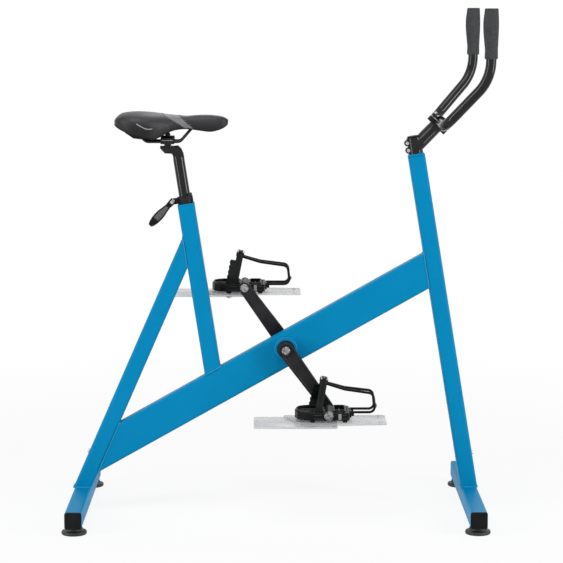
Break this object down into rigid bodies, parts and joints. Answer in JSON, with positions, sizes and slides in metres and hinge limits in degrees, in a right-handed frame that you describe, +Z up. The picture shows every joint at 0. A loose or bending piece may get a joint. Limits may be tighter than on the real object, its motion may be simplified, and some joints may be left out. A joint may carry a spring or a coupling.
{
  "type": "aqua bike",
  "caption": "Blue square-tube exercise bike for a pool, with a saddle on a sliding post, bent handlebar, cranks, and strapped pedals with clear paddle blades.",
  "frame": {"origin": "on the floor, under the middle of the overall length and width", "axes": "+X forward to the handlebar, +Y the rider's left, +Z up"},
  "size_m": [1.0016, 0.566, 1.2056],
  "materials": {
    "blue_paint": "glossy blue paint on steel tube",
    "black_bar": "glossy black paint on steel tube",
    "black_alloy": "satin black anodised alloy",
    "black_plastic": "moulded black plastic",
    "black_rubber": "black rubber",
    "grey_foam": "dark grey closed-cell foam",
    "saddle_vinyl": "dark grey smooth vinyl over foam",
    "bright_steel": "bright stainless steel",
    "clear_blade": "translucent clear plastic sheet"
  },
  "bodies": {
    "frame": {"main_beam": "blue_paint", "seat_tube": "blue_paint", "rear_leg": "blue_paint", "front_post": "blue_paint", "steerer_stub": "blue_paint", "bottom_bracket_shell": "blue_paint", "front_base_bar": "blue_paint", "rear_base_bar": "blue_paint", "leg_plug": "bright_steel", "post_plug": "bright_steel", "seat_tube_sleeve": "black_plastic", "seat_collar": "black_alloy", "qr_bolt": "bright_steel", "stem_body": "black_alloy", "stem_faceplate": "black_alloy", "steerer_cap": "black_alloy", "pinch_bolt_lower": "bright_steel", "pinch_bolt_upper": "bright_steel", "faceplate_bolt_lower": "bright_steel", "faceplate_bolt_upper": "bright_steel", "bearing_cup_right": "black_alloy", "end_cap_front_right": "black_plastic", "foot_pad_front_right": "black_rubber", "end_cap_rear_right": "black_plastic", "foot_pad_rear_right": "black_rubber", "bearing_cup_left": "black_alloy", "end_cap_front_left": "black_plastic", "foot_pad_front_left": "black_rubber", "end_cap_rear_left": "black_plastic", "foot_pad_rear_left": "black_rubber"},
    "quick_release_lever": {"qr_lever": "black_plastic", "qr_cam_pin": "bright_steel"},
    "seat_post": {"seat_post": "black_alloy"},
    "saddle_clamp": {"clamp_lower_plate": "black_alloy", "clamp_upper_plate": "black_alloy", "clamp_bolt": "bright_steel", "clamp_nut": "black_alloy"},
    "saddle": {"saddle_rails": "black_bar", "saddle_shell": "black_plastic", "saddle_cover": "saddle_vinyl"},
    "handlebar": {"handlebar": "black_bar", "grip_right": "grey_foam", "grip_left": "grey_foam"},
    "crankset": {"crank_spindle": "bright_steel", "crank_arm_right": "black_alloy", "crank_bolt_right": "bright_steel", "pedal_axle_right": "bright_steel", "crank_arm_left": "black_alloy", "crank_bolt_left": "bright_steel", "pedal_axle_left": "bright_steel"},
    "pedal_right": {"pedal_body_right": "black_plastic", "toe_clip_right": "black_plastic", "foot_strap_right": "black_rubber", "blade_front_right": "clear_blade", "blade_rear_right": "clear_blade"},
    "pedal_left": {"pedal_body_left": "black_plastic", "toe_clip_left": "black_plastic", "foot_strap_left": "black_rubber", "blade_front_left": "clear_blade", "blade_rear_left": "clear_blade"}
  },
  "joints": [
    {"name": "crank_spin", "type": "hinge", "parent": "frame", "child": "crankset", "pos_m": [0.01914, 0, 0.3968], "axis": [0, 1, 0], "continuous": true},
    {"name": "pedal_right_spin", "type": "hinge", "parent": "crankset", "child": "pedal_right", "pos_m": [0.11882, -0.11, 0.25909], "axis": [0, 1, 0], "continuous": true},
    {"name": "pedal_left_spin", "type": "hinge", "parent": "crankset", "child": "pedal_left", "pos_m": [-0.08054, 0.11, 0.53451], "axis": [0, 1, 0], "continuous": true},
    {"name": "seat_height", "type": "slide", "parent": "frame", "child": "seat_post", "axis": [-0.153, 0, 0.9882], "range_m": [-0.085, 0.08]},
    {"name": "saddle_tilt", "type": "hinge", "parent": "seat_post", "child": "saddle_clamp", "pos_m": [-0.26121, 0, 0.88419], "axis": [0, 1, 0], "range_deg": [-12, 12]},
    {"name": "saddle_slide", "type": "slide", "parent": "saddle_clamp", "child": "saddle", "axis": [1, 0, 0], "range_m": [-0.006, 0.024]},
    {"name": "handlebar_tilt", "type": "hinge", "parent": "frame", "child": "handlebar", "pos_m": [0.38316, 0, 0.93563], "axis": [0, 1, 0], "range_deg": [-25, 15]},
    {"name": "qr_lever_open", "type": "hinge", "parent": "frame", "child": "quick_release_lever", "pos_m": [-0.25208, -0.0191, 0.74806], "axis": [-0.7278, 0, 0.6858], "range_deg": [0, 160]}
  ]
}
